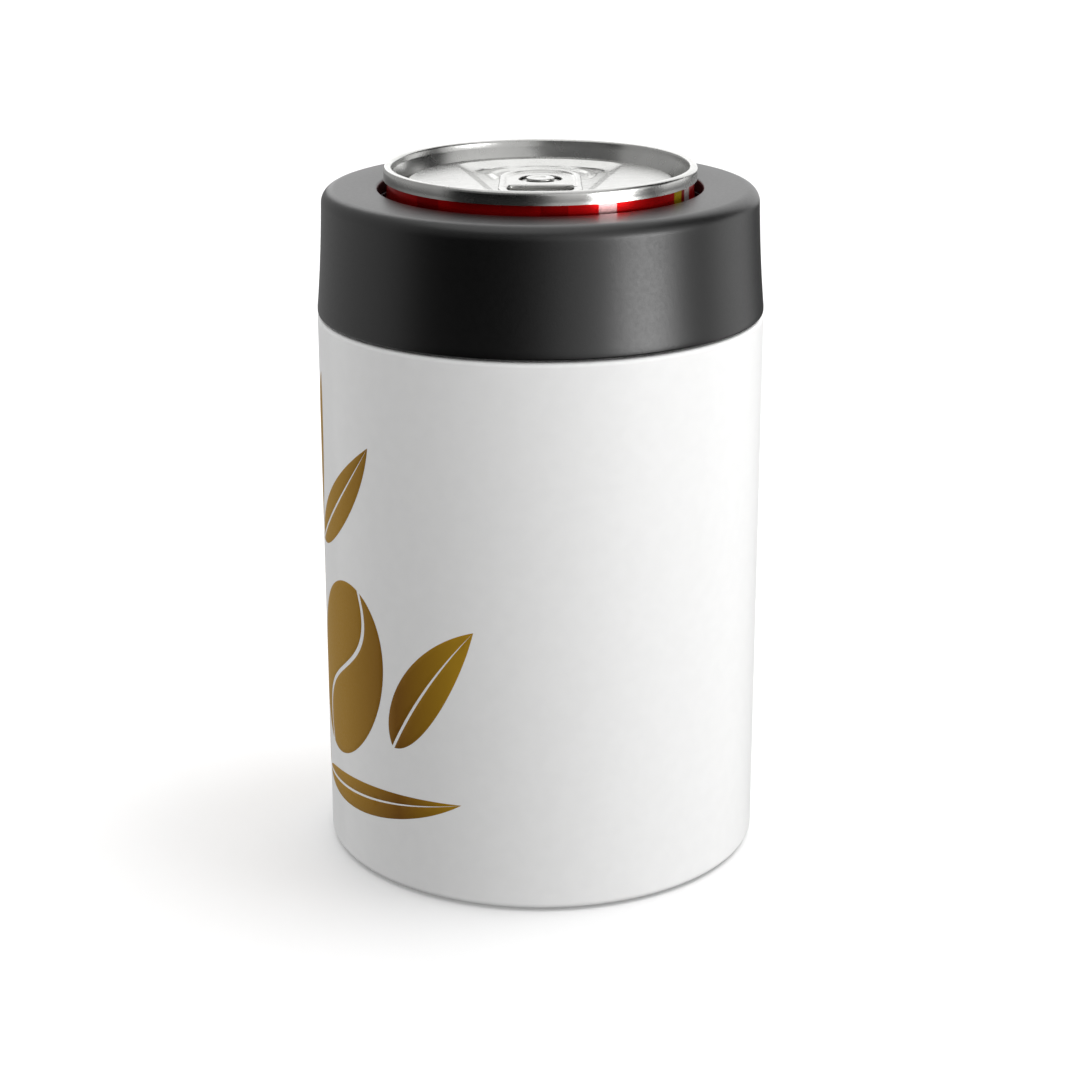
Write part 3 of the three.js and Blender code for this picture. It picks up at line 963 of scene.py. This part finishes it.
def reach(outline):
    """How far an outline is from the mouth's centre in each direction of the fan."""
    spokes = np.array([tuple(p) for p in outline]) - MOUTH_CENTRE
    angles = np.arctan2(spokes[:, 1], spokes[:, 0])
    order = np.argsort(angles)
    return np.interp(FAN, angles[order], np.linalg.norm(spokes[order], axis=1), period=2 * math.pi)


def fan_places(distances):
    """The places at these distances from the mouth's centre, one in each direction of the fan."""
    return MOUTH_CENTRE + distances[:, None] * np.column_stack([np.cos(FAN), np.sin(FAN)])


def panel_edge():
    """How far the panel's round edge is from the mouth's centre."""
    return reach(arc((0, 0), PANEL_R, 0, 359, 359))


def recess_outline(inset):
    """The pear-shaped recess, wide at the mouth and narrow at the finger end."""
    far_r, far_x, far_middle = 23.2 - inset, 13.4 - inset, -2.6
    far_angle = math.degrees(math.acos(far_x / far_r))
    far_y = far_middle + far_r * math.sin(math.radians(far_angle))
    side = (14.9 - inset, 13.0 - inset)
    corner = (15.4 - inset, 14.9 - inset)
    finger = arc((0, -12), 9.0 - inset * FINGER_SLOPE, 180, 360, 60)
    right = [finger[-1].lerp(Vector(side), i / 40) for i in range(1, 41)]
    right += curve([side, corner, (far_x, far_y)], 24)
    far = arc((0, far_middle), far_r, far_angle, 180 - far_angle, 60)
    left = [Vector((-p.x, p.y)) for p in right[::-1]]
    return finger + right + far + left


def mouth_outline(inset):
    """The mouth. Its straight left side is where the tear panel bends."""
    near, half, middle, far = 2.8 + inset, 10.0 - inset, 9.6, 7.6 - inset
    near_half = 6.3
    hinge_end = Vector((-8.7 + inset, 4.7))
    outline = [Vector((-near_half + 2 * near_half * i / 40, near)) for i in range(41)]
    outline += curve([(near_half, near), (8.7, near), (half, 6.0), (half, middle)], 30)
    for angle in np.linspace(0, math.pi, 90):
        outline.append(Vector((half * math.cos(angle), middle + far * math.sin(angle))))
    outline += [Vector((-half, middle)).lerp(hinge_end, i / 20) for i in range(1, 21)]
    outline += curve([tuple(hinge_end), (hinge_end.x, near), (-near_half, near)], 20)[1:-1]
    return outline


def dish_depth(x, y):
    """How deep the shallow oval dish round the mouth is at one place."""
    middle, across, far, near = 12.8, 12.4, 4.4, 6.0
    deepest, steepness = 0.16, 8
    along = (y - middle) / (far if y > middle else near)
    return deepest * smooth(steepness * (1 - math.hypot(x / across, along)))


def floor_height(x, y):
    """The recess's floor: a dish, a finger well under the tab's end, and a swelling at the rivet."""
    well_depth, well_across, well_along, well_y = 0.55, 5.6, 6.4, -12.4
    boss_height, boss_r, boss_half = 0.12, 2.4, 1.4
    well = smooth(1.25 - math.hypot(x / well_across, (y - well_y) / well_along))
    boss = smooth(1 - abs(math.hypot(x, y) - boss_r) / boss_half)
    return FLOOR_Z - well_depth * well + boss_height * boss - dish_depth(x, y)


def end_seam_face():
    """The upper face from the seam's foot over its crest and down to the panel."""
    crest = END.high
    outer_roll, inner_roll, inner_roll_r = 0.62, 0.5, 26.3
    sink_r, sink_roll, sink_inner_r = 23.75, 0.6, 23.15
    waist_r = END.r - 0.02
    roll_z = crest - outer_roll
    face = [Vector((END.r, crest - SEAM_H)), Vector((waist_r, crest - SEAM_H + 0.35))]
    face += curve([(waist_r, crest - 1.7), (END.r, crest - 1.1), (END.r, roll_z)], 6)
    face += arc((END.r - outer_roll, roll_z), outer_roll, 0, 90, 8)
    face += arc((inner_roll_r, crest - inner_roll), inner_roll, 90, 180, 8)
    chuck_wall = [(25.8, crest - 0.6, 0), (25.6, crest - 1.2, 0.8), (24.4, crest - 3.6, 0.6)]
    face += filleted(chuck_wall)[1:-1]
    face += arc((sink_r, crest - 4.05), sink_roll, 0, -180, 12)
    panel_wall = [(sink_inner_r, crest - 4.0, 0), (sink_inner_r, PANEL_Z, 0.55), (PANEL_R, PANEL_Z, 0)]
    face += filleted(panel_wall)[1:]
    return single(face)


def panel_rows():
    """The upper face from the panel's edge into the recess and up to the mouth."""
    flat_rows, slope_rows, floor_rows = 5, 18, 43
    edge, lip = panel_edge(), reach(recess_outline(0))
    places = [(edge + (lip - edge) * t, PANEL_Z) for t in np.linspace(0, 1, flat_rows + 1)[1:]]
    for i in range(1, slope_rows + 1):
        t = i / slope_rows
        height = PANEL_Z + (FLOOR_Z - PANEL_Z) * eased(t)
        places.append((reach(recess_outline(RECESS_SLOPE * t)), height))
    foot, mouth = places[-1][0], reach(mouth_outline(0))
    rows = [[(x, y, height) for x, y in fan_places(distances)] for distances, height in places]
    for t in np.linspace(0, 1, floor_rows + 1)[1:]:
        rows.append([(x, y, floor_height(x, y)) for x, y in fan_places(foot + (mouth - foot) * t)])
    return rows


def can_end(material):
    """The end: seam, chuck wall, countersink, panel, recess and mouth, in one sheet."""
    azimuths = [math.atan2(y, x) for x, y in fan_places(panel_edge())]
    face = end_seam_face()
    build = Build()
    upper = [build.row(ring(p.x, p.y, azimuths)) for p in face]
    lower = [build.row(ring(p.x, p.y, azimuths)) for p in offset(face, END_T)]
    for row in panel_rows():
        upper.append(build.row(row))
        lower.append(build.row([(x, y, z - END_T) for x, y, z in row]))
    build.skin(upper + lower[::-1], closed=True)
    add_piece("can_lid", build, "can", material, ["can_end"])


def rivet(material):
    """The rivet that holds the tab, formed up from the end."""
    foot, head = FLOOR_Z - 0.2, TONGUE.high + 0.12
    rim, hollow = head + 0.42, head + 0.25
    shank_r = 1.6
    profile = filleted([
        (0, foot, 0),
        (shank_r, foot, 0),
        (shank_r, head, 0.1),
        (2.5, head, 0.12),
        (2.4, rim, 0.2),
        (1.5, rim, 0.3),
        (1.1, hollow, 0.3),
        (0, hollow, 0),
    ])
    build = turned(profile, steps=SMALL_TURN_STEPS)
    add_piece("tab_rivet", build, "can", material)


def tear_panel(material):
    """The tear panel, with a raised bead inside its score and a bevelled edge."""
    bead_middle, bead_half, bead_h, bevel = 1.3, 0.85, 0.26, 0.06
    build = Build()
    upper, lower = [], []
    insets = [SCORE_GAP, SCORE_GAP + bevel, 0.3, 0.6, *np.linspace(0.8, 2.6, 13), 3.2, 4.0]
    for inset in insets:
        lift = bead_h * smooth(1 - abs(inset - bead_middle) / bead_half)
        drop = bevel if inset == SCORE_GAP else 0.0
        top, bottom = PANEL.high + lift - drop, PANEL.low + lift
        places = fan_places(reach(mouth_outline(inset)))
        upper.append(build.row([(x, y, top - dish_depth(x, y)) for x, y in places]))
        lower.append(build.row([(x, y, bottom - dish_depth(x, y)) for x, y in places]))
    middle = tuple(MOUTH_CENTRE)
    upper.append(build.row([(*middle, PANEL.high - dish_depth(*middle))]))
    lower.append(build.row([(*middle, PANEL.low - dish_depth(*middle))]))
    build.skin(lower[::-1] + upper, closed=False)
    add_piece("mouth_panel", build, "panel", material, ["tear_panel"])


# Tab: the hem rounded at its edge, the slope from it to the web, and the tongue's hole
HEM_H = 1.0
HEM_EDGE = 0.42
HEM_SLOPE_FROM = 0.8
HEM_SLOPE_W = 0.65
WEB_LOW, WEB_HIGH = 0.3, 0.62
WEB_EDGE = 0.12
TONGUE_Y = -0.6
TONGUE_R = 3.4
TONGUE_HOLE_R = 3.75
NOSE_Y, NOSE_R = 0.3, 7.1
FINGER_Y, FINGER_R = -11.3, 7.2
FINGER_HOLE_R = 5.6


def hem_profile(depth):
    """How round the hem's edge has become at a depth: 0 at the edge and 1 past it."""
    return np.sqrt(1 - np.square(1 - np.clip(depth / HEM_EDGE, 0, 1)))


def tab_outline():
    nose = arc((0, NOSE_Y), NOSE_R, 0, 180, 72)
    finger = arc((0, FINGER_Y), FINGER_R, 180, 360, 84)
    left = [nose[-1].lerp(finger[0], i / 44) for i in range(1, 44)]
    right = [finger[-1].lerp(nose[0], i / 44) for i in range(1, 44)]
    return as_loop(nose + left + finger + right)


def finger_hole_outline():
    """The finger hole, straight towards the rivet and round at the far end."""
    straight_y, corner = -8.8, 1.2
    points = filleted([
        (FINGER_HOLE_R, FINGER_Y, 0),
        (FINGER_HOLE_R, straight_y, corner),
        (-FINGER_HOLE_R, straight_y, corner),
        (-FINGER_HOLE_R, FINGER_Y, 0),
    ])
    right, left = points[:len(points) // 2], points[len(points) // 2:]
    across = [right[-1].lerp(left[0], i / 30) for i in range(1, 30)]
    return as_loop(right + across + left + arc((0, FINGER_Y), FINGER_HOLE_R, 180, 360, 72))


def pull_tab(material):
    """The tab: a hem round its edge and its finger hole, and a web sunk between them."""
    hemmed = [np.array(tab_outline()), np.array(finger_hole_outline())]
    tongue_hole = np.array(as_loop(arc((0, TONGUE_Y), TONGUE_HOLE_R, 0, 360, 90)))

    def web_edge(places):
        """0 at the tongue's hole and 1 a little way from it."""
        return np.sqrt(np.clip(edge_distance(places, [tongue_hole]) / WEB_EDGE, 0, 1))

    def face(places, hem_sign, web_height):
        depth = edge_distance(places, hemmed)
        hem = HEM_H / 2 * (1 + hem_sign * hem_profile(depth))
        middle = (WEB_LOW + WEB_HIGH) / 2
        web = middle + (web_height - middle) * web_edge(places)
        return TAB.low + hem + (web - hem) * smooth((depth - HEM_SLOPE_FROM) / HEM_SLOPE_W)

    def top(places, depth):
        return face(places, 1, WEB_HIGH)

    def bottom(places, depth):
        return face(places, -1, WEB_LOW)

    rows = [0.03, 0.1, 0.2, 0.32, 0.42, 0.6, 0.8, 0.95, 1.1, 1.25, 1.4]
    build = formed_sheet([*hemmed, tongue_hole], rows, 0.3, top, bottom)
    add_piece("ring_tab", build, "tab", material, ["pull_tab"])


def tab_tongue(material):
    """The tongue that the rivet holds, with the rivet's hole in it."""
    rivet_hole_r = 1.7
    middle = (TONGUE.low + TONGUE.high) / 2
    half = (TONGUE.high - TONGUE.low) / 2

    def swell(depth):
        return half * np.sqrt(np.clip(depth / WEB_EDGE, 0, 1))

    def top(places, depth):
        return middle + swell(depth)

    def bottom(places, depth):
        return middle - swell(depth)

    edge = as_loop(arc((0, TONGUE_Y), TONGUE_R, 0, 360, 90))
    hole = as_loop(arc((0, 0), rivet_hole_r, 0, 360, 60))
    build = formed_sheet([edge, hole], [0.02, 0.06, 0.12], 0.35, top, bottom)
    add_piece("rivet_tongue", build, "can", material, ["tab_tongue"])


# ---- Studio -------------------------------------------------------------------------------------

CAMERA_PLACE = (-0.18, -426.99, 196.68)
CAMERA_PITCH = 18.35
CAMERA_ROLL = 0.11
CAMERA_LENS = 82.48
SENSOR = 36


def floor(material):
    """A wide floor, a hair under the pad. It leaves no reflections and throws no light back."""
    half, drop = 40.0, 0.05 * MM
    corners = [(-half, -half, -drop), (half, -half, -drop), (half, half, -drop), (-half, half, -drop)]
    mesh = bpy.data.meshes.new("floor")
    mesh.from_pydata(corners, [], [(0, 1, 2, 3)])
    mesh.materials.append(material)
    ground = bpy.data.objects.new("floor", mesh)
    ground.visible_glossy = False
    ground.visible_diffuse = False
    bpy.context.scene.collection.objects.link(ground)


# Lights as (azimuth, elevation, apparent width, strength)
LIGHTS = {
    "key": (54, -4, 30, 2.62),
    "skirt": (44, 12, 84, 1.12),
    "fill": (-121, 4, 104, 0.85),
    "left": (-125, 4, 60, 0.9),
    "front": (-35, 40, 70, 0.16),
    "side": (116, -8, 40, 0.42),
    "overhead": (180, 88, 68, 1.05),
    "right": (98, 58, 36, 1.1),
    "rear": (168, 24, 66, 1.35),
}

# These light the white coat, but their reflections would be too bright on the can and the collar
UNREFLECTED = ("left", "right")
AMBIENT = 0.265


def soft_light(name, azimuth, elevation, width, strength):
    """A far, wide lamp. It falls evenly on the whole object from its azimuth and elevation."""
    light = bpy.data.lights.new(name, "SUN")
    light.angle = math.radians(width)
    light.energy = strength
    lamp = bpy.data.objects.new(name, light)
    a, e = math.radians(azimuth), math.radians(elevation)
    away = Vector((math.sin(a) * math.cos(e), -math.cos(a) * math.cos(e), math.sin(e)))
    lamp.rotation_euler = away.to_track_quat("Z", "Y").to_euler()
    lamp.visible_glossy = name not in UNREFLECTED
    bpy.context.scene.collection.objects.link(lamp)


def studio():
    """Even ambient light that leaves no reflections, soft lights, and a plain pale floor."""
    world = bpy.data.worlds.new("studio")
    bpy.context.scene.world = world
    world.use_nodes = True
    backdrop = world.node_tree.nodes["Background"]
    backdrop.inputs["Color"].default_value = (1, 1, 1, 1)
    backdrop.inputs["Strength"].default_value = AMBIENT
    world.cycles_visibility.glossy = False
    for name, light in LIGHTS.items():
        soft_light(name, *light)
    floor(floor_paint())


def camera():
    """The camera, fitted to the round rims that the photo shows."""
    data = bpy.data.cameras.new("camera")
    data.lens = CAMERA_LENS
    data.sensor_width = SENSOR
    eye = bpy.data.objects.new("camera", data)
    eye.location = Vector(CAMERA_PLACE) * MM
    tilt = Matrix.Rotation(math.radians(90 - CAMERA_PITCH), 3, "X")
    eye.rotation_euler = (tilt @ Matrix.Rotation(math.radians(-CAMERA_ROLL), 3, "Z")).to_euler()
    bpy.context.scene.collection.objects.link(eye)
    bpy.context.scene.camera = eye
    bpy.context.scene.view_settings.view_transform = "Standard"


# ---- Making -------------------------------------------------------------------------------------

camera()
studio()

steel = stainless_steel()
outer_shell(white_coat())
inner_liner(steel)
base_plate(steel)
seal_bead(glass_solder())
getter(getter_metal())
getter_holder(steel)
base_cover(steel)
base_pad(base_silicone())
gold_print(gold_ink_painted_shading())

collar_shell(collar_plastic())
can_gasket(gasket_silicone())

aluminium = can_aluminium()
can_body(can_lacquer())
can_end(aluminium)
rivet(aluminium)
tear_panel(aluminium)
pull_tab(aluminium)
tab_tongue(aluminium)
